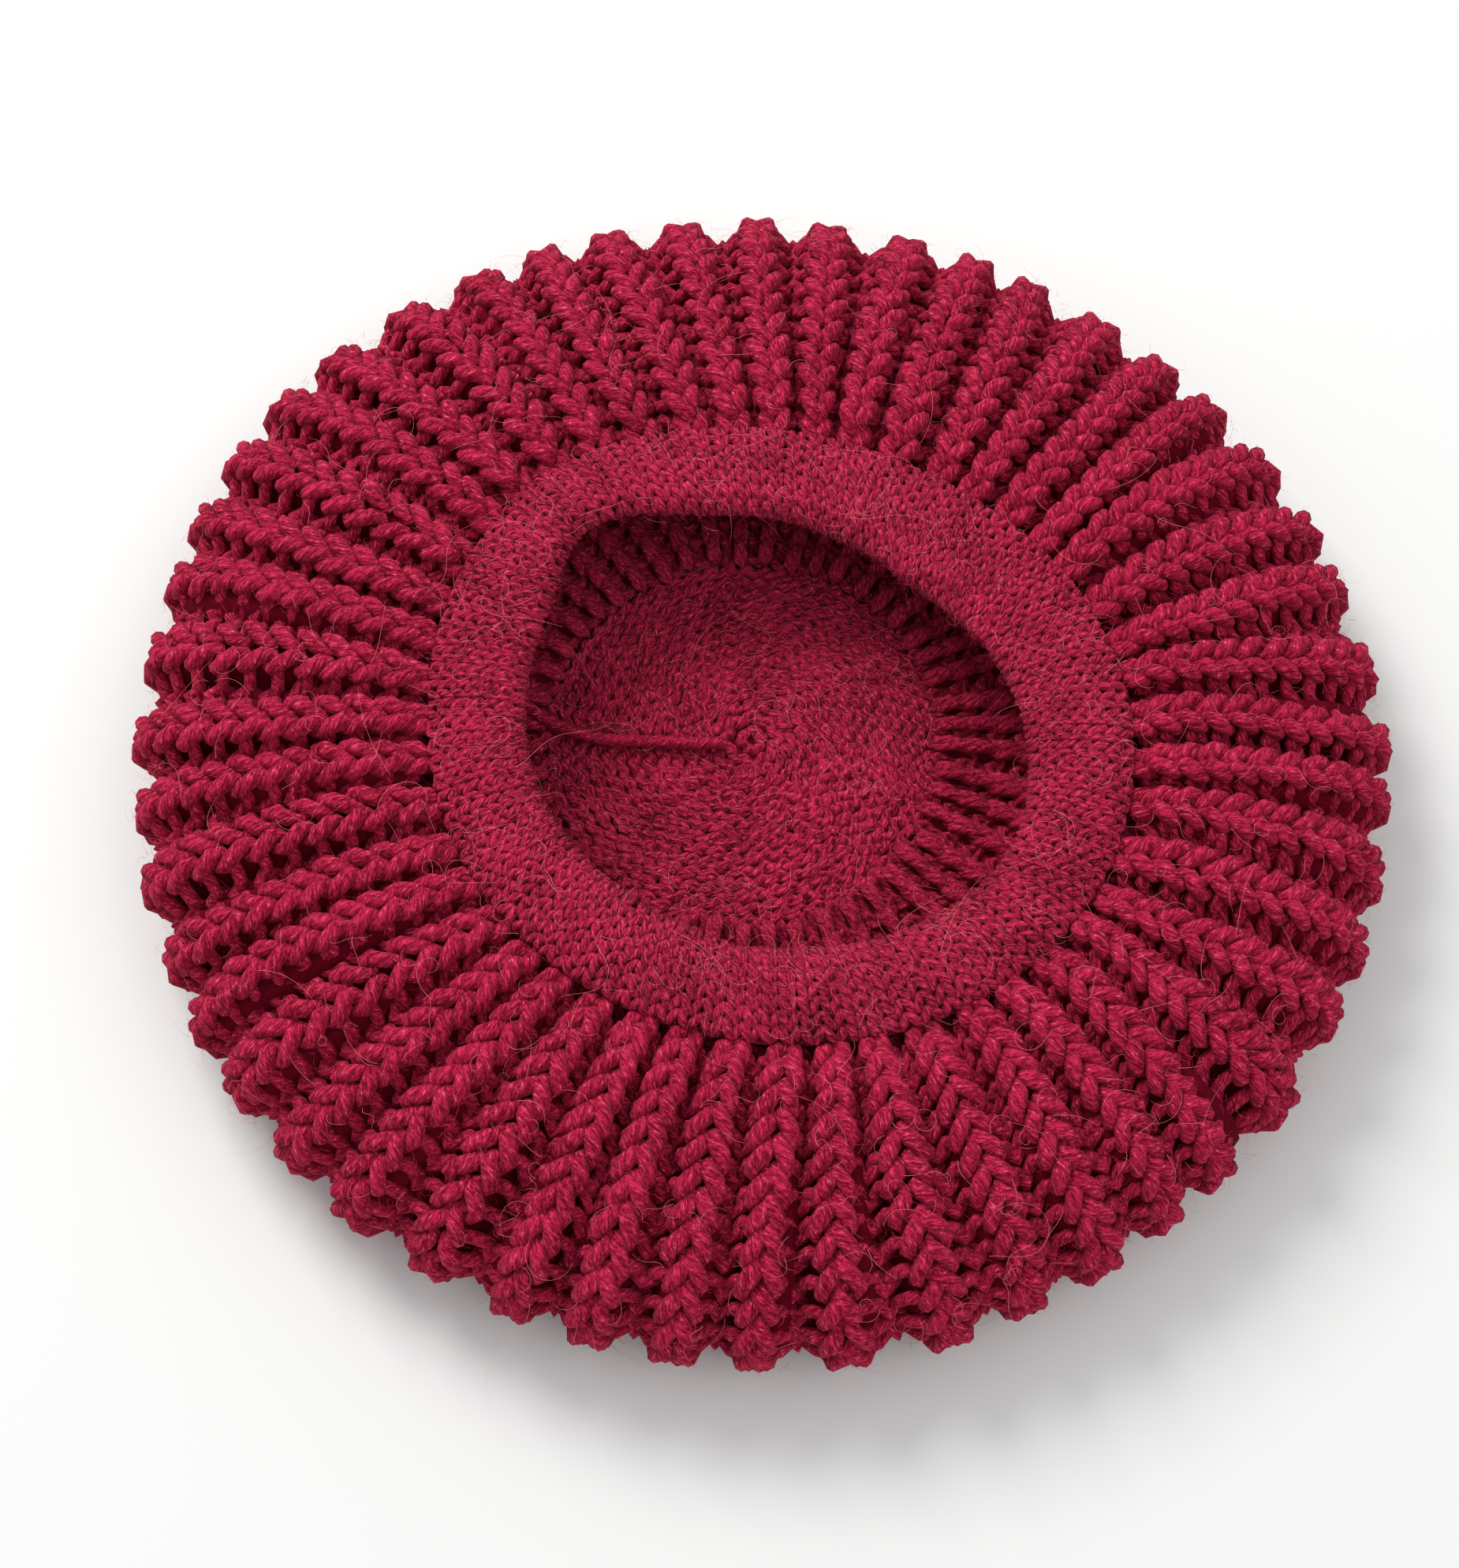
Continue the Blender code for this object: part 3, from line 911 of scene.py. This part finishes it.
TAIL_SIDES = 24
TAIL_STEP = 0.0006  # between rings
PLY_CENTRE = 0.55  # of a ply from the yarn's middle, in radii
PLY_RADIUS = 0.47
TAPER_LENGTH = 0.004  # of the thinner end
TAPER = 0.45  # share of its thickness that is lost there


def lobed(path, points, along, twist, taper):
    """Four round plies laid side by side make the outline lobed, and it turns with the twist."""
    turns = 2 * math.pi * np.arange(TAIL_SIDES) / TAIL_SIDES - math.pi / 2
    off = (turns[None] - (along / twist * 2 * math.pi)[:, None]) * PLIES / 2
    off = np.arctan2(np.abs(np.sin(off)), np.abs(np.cos(off))) * 2 / PLIES
    lobes = PLY_CENTRE * np.cos(off) + np.sqrt(PLY_RADIUS**2 - (PLY_CENTRE * np.sin(off)) ** 2)
    ring = points.reshape(len(path), TAIL_SIDES, 3)
    ring = path[:, None] + (ring - path[:, None]) * (lobes * taper[:, None])[..., None]
    return ring.reshape(-1, 3)


class BERET_OT_tail(bpy.types.Operator):
    """Lay the loose end of the yarn inside the crown"""

    bl_idname = "beret.tail"
    bl_label = "Yarn Tail"

    def execute(self, context):
        fine, walked = tail_line()
        along = np.linspace(0, walked[-1], round(walked[-1] / TAIL_STEP) + 1)
        path = np.stack([np.interp(along, walked, fine[:, k]) for k in range(3)], -1)
        radii = np.full((1, len(path)), YARN_DIAMETER / 2)
        points, faces, corners = tube(path[None], straight_up(path)[None], radii, TAIL_SIDES, closed=False)
        taper = 1 - TAPER * blend(along, walked[-1] - TAPER_LENGTH, walked[-1])
        points = lobed(path, points, along, RIB_TWIST, taper)
        piece = add_piece("tail_yarn", [(points, faces, corners)], rib_wool(context.scene), ["yarn_tail"])
        cap_ends(piece, TAIL_SIDES)
        return {"FINISHED"}


def cap_ends(piece, sides):
    """Close the first and last ring of a tube."""
    shape = bmesh.new()
    shape.from_mesh(piece.data)
    shape.verts.ensure_lookup_table()
    count = len(shape.verts)
    shape.faces.new([shape.verts[k] for k in range(sides)])
    shape.faces.new([shape.verts[count - 1 - k] for k in range(sides)])
    shape.to_mesh(piece.data)
    shape.free()


# How finely the yarn is drawn: points on a stitch, and sides of its tube
Fineness = namedtuple("Fineness", "samples sides")
BAND_OUTSIDE = Fineness(samples=12, sides=8)
BAND_INSIDE = Fineness(samples=10, sides=6)
CROWN_FINENESS = Fineness(samples=12, sides=8)

# A stretch of the ribs is one object: start and end are shares of the wall's length, samples are the
# points on a knit and on a purl stitch, and sides are those of the yarn's tube.
Stretch = namedtuple("Stretch", "name start end samples sides replaced")
STRETCHES = (
    Stretch("ribs_by_band", 0.00, 0.27, (14, 8), 8, ["band_ribs"]),
    Stretch("ribs_by_edge", 0.27, 0.54, (14, 8), 8, []),
    Stretch("ribs_by_crown", 0.54, 1.00, (10, 8), 6, ["crown_ribs"]),
)


class BERET_OT_ribs(bpy.types.Operator):
    """Knit the deep ribs from the headband round the edge to the crown"""

    bl_idname = "beret.ribs"
    bl_label = "Ribs"

    def execute(self, context):
        knit = context.scene.beret_knit
        total = round(WALL_LENGTH / knit.rib_course)
        for part in STRETCHES:
            courses = np.arange(round(total * part.start), round(total * part.end))
            paths, ups, radii = rib_courses(courses, knit, part.samples)
            rings = tube(paths, ups, radii, part.sides, closed=True)
            add_piece(part.name, [rings], rib_wool(context.scene), part.replaced)
        return {"FINISHED"}


class BERET_OT_band(bpy.types.Operator):
    """Knit the plain headband, folded on itself"""

    bl_idname = "beret.band"
    bl_label = "Headband"

    def execute(self, context):
        knit = context.scene.beret_knit
        wool = band_wool(context.scene)
        total = round(BAND_LENGTH / knit.band_course)
        fold = fold_course(total)
        layers = (
            ("band_outside", np.arange(fold, total), BAND_OUTSIDE, ["headband"]),
            ("band_inside", np.arange(fold), BAND_INSIDE, []),
        )
        for name, courses, fineness, replaced in layers:
            paths, ups, radii = band_courses(courses, knit, fineness.samples)
            add_piece(name, [tube(paths, ups, radii, fineness.sides, closed=True)], wool, replaced)
        return {"FINISHED"}


class BERET_OT_crown(bpy.types.Operator):
    """Knit the plain crown with its swirl of decreases"""

    bl_idname = "beret.crown"
    bl_label = "Crown"

    def execute(self, context):
        knit = context.scene.beret_knit
        total = round(CROWN_RADIUS / knit.crown_course)
        parts = []
        first = 0
        for course in range(total - 1):
            path, ups, radii = crown_course(course, total, knit, CROWN_FINENESS.samples)
            parts.append(tube(path, ups, radii, CROWN_FINENESS.sides, closed=True, first=first))
            first += len(parts[-1][0])
        add_piece("crown_knit", parts, band_wool(context.scene), ["crown"])
        return {"FINISHED"}


def sheet(rings, closed):
    """Vertices and faces of a skin through these rings."""
    rows, steps = rings.shape[:2]
    row, step = np.meshgrid(np.arange(rows if closed else rows - 1), np.arange(steps), indexing="ij")
    row_after, step_after = (row + 1) % rows, (step + 1) % steps
    faces = np.stack(
        (row * steps + step, row * steps + step_after,
         row_after * steps + step_after, row_after * steps + step), -1).reshape(-1, 4).tolist()
    if not closed:
        faces.append(list(range(steps))[::-1])
        faces.append([(rows - 1) * steps + k for k in range(steps)])
    return rings.reshape(-1, 3).tolist(), faces


def from_rib(angle):
    """Distance from the nearest rib's crest, as a share of the pitch."""
    return np.abs((angle * RIB_COUNT / (2 * math.pi) + 0.5) % 1 - 0.5)


# Thin dark sheets behind the loops, painted as the shade in the gaps between them
GAP_SHADE_THICKNESS = 0.0003
GAP_SHADE_BEHIND = 0.31  # of the shade sheet behind the loops' middle, in diameters of the yarn
GAP_SHADE_TURN = (0.46, 0.60)  # shares of the wall's length between which it changes sides
RIB_GAP_SHADE_GRID = (26, RIB_COUNT * 8)
BAND_GAP_SHADE_GRID = (28, 192)
CROWN_GAP_SHADE_STEPS = 96
# Shares of the crown's radius, and heights
CROWN_GAP_SHADE_SECTION = ((0.05, 0.0016), (0.98, 0.0016), (0.98, 0.0024), (0.05, 0.0024))


def grid(size, length):
    """Even places over a surface as (length, angle), with some room at both of its ends."""
    rows, steps = size
    angle = all_round(steps)[None]
    place = np.linspace(END_ROOM, length - END_ROOM, rows)[:, None]
    return place + 0 * angle, angle + 0 * place


def rib_gap_shade(knit):
    """Rings of the thin sheet of painted shade, behind the loops as seen from outside above and from inside
    below.
    """
    length, angle = grid(RIB_GAP_SHADE_GRID, WALL_LENGTH)
    relief = rib_relief(knit, length, from_rib(angle), knit_part(length[:, 0])[:, None]) - RIB_INSET
    ups = facing(wall_point, length, angle)
    middle = wall_point(length, angle)
    inward = 2 * blend(length / WALL_LENGTH, *GAP_SHADE_TURN) - 1
    sink = knit.rib_yarn * GAP_SHADE_BEHIND * inward
    outside = middle + ups * (relief + sink + GAP_SHADE_THICKNESS / 2)[..., None]
    inside = middle + ups * (relief + sink - GAP_SHADE_THICKNESS / 2)[..., None]
    return np.concatenate((outside, inside[::-1]))


def crown_gap_shade():
    """Rings of the dark disc of painted shade in the crown, among its loops."""
    angle = all_round(CROWN_GAP_SHADE_STEPS)
    rings = []
    for reach, height in CROWN_GAP_SHADE_SECTION:
        ring = outline(CROWN_RADIUS, CROWN_DENTS, (0, 0), angle) * reach + CROWN_MIDDLE
        rings.append(np.concatenate((ring, np.full((CROWN_GAP_SHADE_STEPS, 1), height)), -1))
    return np.array(rings)


class BERET_OT_gap_shade(bpy.types.Operator):
    """Fill between the loops with dark sheets, painted as the shade in the gaps"""

    bl_idname = "beret.core"
    bl_label = "Gap_Shade"

    def execute(self, context):
        felts = (
            ("rib_gap_shade", rib_gap_shade(context.scene.beret_knit), True),
            ("band_gap_shade", band_point(*grid(BAND_GAP_SHADE_GRID, BAND_LENGTH)), True),
            ("crown_gap_shade", crown_gap_shade(), False),
        )
        for name, rings, closed in felts:
            points, faces = sheet(rings, closed)
            mesh = bpy.data.meshes.new(name)
            mesh.from_pydata(points, [], faces)
            place_piece(name, mesh, gap_shade_material(context.scene))
        return {"FINISHED"}


# Loose fibres by kind: share of all, shortest and longest, how far they stand up, how much they curl,
# how many spans they are drawn with, and whether they take the pale hair colour
Hair = namedtuple("Hair", "name share shortest longest stand curl spans pale")
HAIRS = (
    Hair("short_fibres", 3.20, 0.0012, 0.0036, 0.90, 1.0, 2, pale=False),
    Hair("loose_fibres", 0.45, 0.0050, 0.0110, 0.45, 1.6, 7, pale=True),
    Hair("stray_hairs", 0.05, 0.0120, 0.0280, 0.30, 2.4, 18, pale=True),
)
HAIR_RADIUS = 0.000036  # rather more than a real fibre's, which would be too fine to show
HAIR_SIDES = 3
HAIR_FLOOR = 0.0003  # the lowest that a hair lies
HAIR_THINNING = 0.6  # share of the radius that is lost towards the tip
HAIR_WAVES = (2, 7)  # radians of a hair's wave along it
HAIR_FALL = (0.6, 2.2)  # how fast it lies down
SEEN_WALL = 0.72  # share of the wall's length that hairs show on
HIDDEN_BAND = 0.45  # share of the headband's section that has none
HAIR_PLACES = (0.72, 0.20, 0.08)  # shares of the hairs on the ribs, the headband and the crown
HAIR_CREST = 0.65  # share of the pitch that counts as crest where hairs start
RIB_SURFACE = 0.75  # where hairs leave the yarn, in diameters above the middle of the fabric
BAND_SURFACE = 0.70
CROWN_SURFACE = 0.0003  # below the top of the crown's solid


def hair_roots(knit, count, chance):
    """Places on top of the yarn all over the beret, with the way that each faces."""
    kinds = chance.choice(3, count, p=HAIR_PLACES)
    angle = chance.uniform(0, 2 * math.pi, count)
    along = chance.uniform(0, 1, count)
    on_band = BAND_LENGTH * (HIDDEN_BAND + (1 - HIDDEN_BAND) * along)
    length = np.where(kinds == 1, on_band, WALL_LENGTH * SEEN_WALL * along)
    depth = rib_relief(knit, length, from_rib(angle), HAIR_CREST) - RIB_INSET + knit.rib_yarn * RIB_SURFACE
    wall_ups = facing(wall_point, length, angle)
    wall = wall_point(length, angle) + wall_ups * depth[:, None]
    band_length = np.clip(length, 0, BAND_LENGTH)
    band_ups = facing(band_point, band_length, angle)
    band = band_point(band_length, angle) + band_ups * knit.band_yarn * BAND_SURFACE
    place = CROWN_MIDDLE + (np.sqrt(along) * CROWN_RADIUS)[:, None] * compass(angle)
    crown = np.concatenate((place, np.full((count, 1), CROWN_THICKNESS - CROWN_SURFACE)), -1)
    kinds = kinds[:, None]
    roots = np.where(kinds == 0, wall, np.where(kinds == 1, band, crown))
    return roots, np.where(kinds == 0, wall_ups, np.where(kinds == 1, band_ups, straight_up(crown)))


def hair_paths(kind, roots, ups, chance):
    """Curling lines from these roots, that stand up first and then lie down on the fabric."""
    count = len(roots)
    across = unit(np.cross(ups, unit(chance.normal(0, 1, (count, 3)))))
    beside = np.cross(ups, across)
    size = chance.uniform(kind.shortest, kind.longest, count)
    steps = np.linspace(0, 1, kind.spans + 1)
    bend = chance.normal(0, kind.curl, (count, 1)) * math.pi / 2
    wave = chance.normal(0, 0.5, (count, 1)) * np.sin(steps[None] * chance.uniform(*HAIR_WAVES, (count, 1)))
    heading = bend * steps[None] + wave
    rise = kind.stand * (1 - steps[None] * chance.uniform(*HAIR_FALL, (count, 1)))
    ahead = (np.cos(heading)[..., None] * across[:, None] + np.sin(heading)[..., None] * beside[:, None]
             + rise[..., None] * ups[:, None])
    ahead = unit(ahead) * (size / kind.spans)[:, None, None]
    path = roots[:, None] + np.concatenate((0 * ahead[:, :1], np.cumsum(ahead[:, :-1], 1)), 1)
    path[..., 2] = np.maximum(path[..., 2], HAIR_FLOOR)
    radii = HAIR_RADIUS * (1 - HAIR_THINNING * steps)[None] * np.ones((count, 1))
    return path, radii


class BERET_OT_fuzz(bpy.types.Operator):
    """Stand loose fibres off the yarn"""

    bl_idname = "beret.fuzz"
    bl_label = "Fuzz"

    def execute(self, context):
        knit = context.scene.beret_knit
        wool = context.scene.beret_wool
        pale = wool_of("pale_fibre", single_fibre, wool.hair[:])
        nap = wool_of("nap_fibre", single_fibre, wool.light[:])
        for kind in HAIRS:
            chance = np.random.default_rng(knit.seed + 80 + kind.spans)
            roots, ups = hair_roots(knit, round(knit.hairs * kind.share), chance)
            path, radii = hair_paths(kind, roots, ups, chance)
            up = np.repeat(ups[:, None], path.shape[1], 1)
            fibres = tube(path, up, radii, HAIR_SIDES, closed=False)
            add_piece(kind.name, [fibres], pale if kind.pale else nap)
        return {"FINISHED"}


CLASSES = (
    BeretKnitSettings, BeretWoolSettings, BeretStageSettings,
    BERET_OT_stage, BERET_OT_tail, BERET_OT_ribs, BERET_OT_band, BERET_OT_crown,
    BERET_OT_gap_shade, BERET_OT_fuzz,
)


class BERET_PT_panel(bpy.types.Panel):
    """The beret's settings and the steps that make it"""

    bl_idname = "BERET_PT_panel"
    bl_label = "Knit Beret"
    bl_space_type = "VIEW_3D"
    bl_region_type = "UI"
    bl_category = "Beret"

    def draw(self, context):
        column = self.layout.column()
        scene = context.scene
        for group in (scene.beret_knit, scene.beret_wool, scene.beret_stage):
            for name in group.bl_rna.properties.keys():
                if name not in ("rna_type", "name"):
                    column.prop(group, name)
        for step in STEPS:
            column.operator(step)


STEPS = (
    "beret.stage", "beret.tail", "beret.ribs", "beret.band", "beret.crown", "beret.core",
    "beret.fuzz",
)


def register():
    """Make the settings, the steps and the panel known to Blender."""
    for kind in (*CLASSES, BERET_PT_panel):
        bpy.utils.register_class(kind)
    bpy.types.Scene.beret_knit = PointerProperty(type=BeretKnitSettings)
    bpy.types.Scene.beret_wool = PointerProperty(type=BeretWoolSettings)
    bpy.types.Scene.beret_stage = PointerProperty(type=BeretStageSettings)


def unregister():
    """Take them away again."""
    del bpy.types.Scene.beret_stage
    del bpy.types.Scene.beret_wool
    del bpy.types.Scene.beret_knit
    for kind in reversed((*CLASSES, BERET_PT_panel)):
        bpy.utils.unregister_class(kind)


def main():
    """Make the beret step by step."""
    register()
    bpy.ops.beret.stage()
    bpy.ops.beret.tail()
    bpy.ops.beret.ribs()
    bpy.ops.beret.band()
    bpy.ops.beret.crown()
    bpy.ops.beret.core()
    bpy.ops.beret.fuzz()


if __name__ == "__main__":
    main()
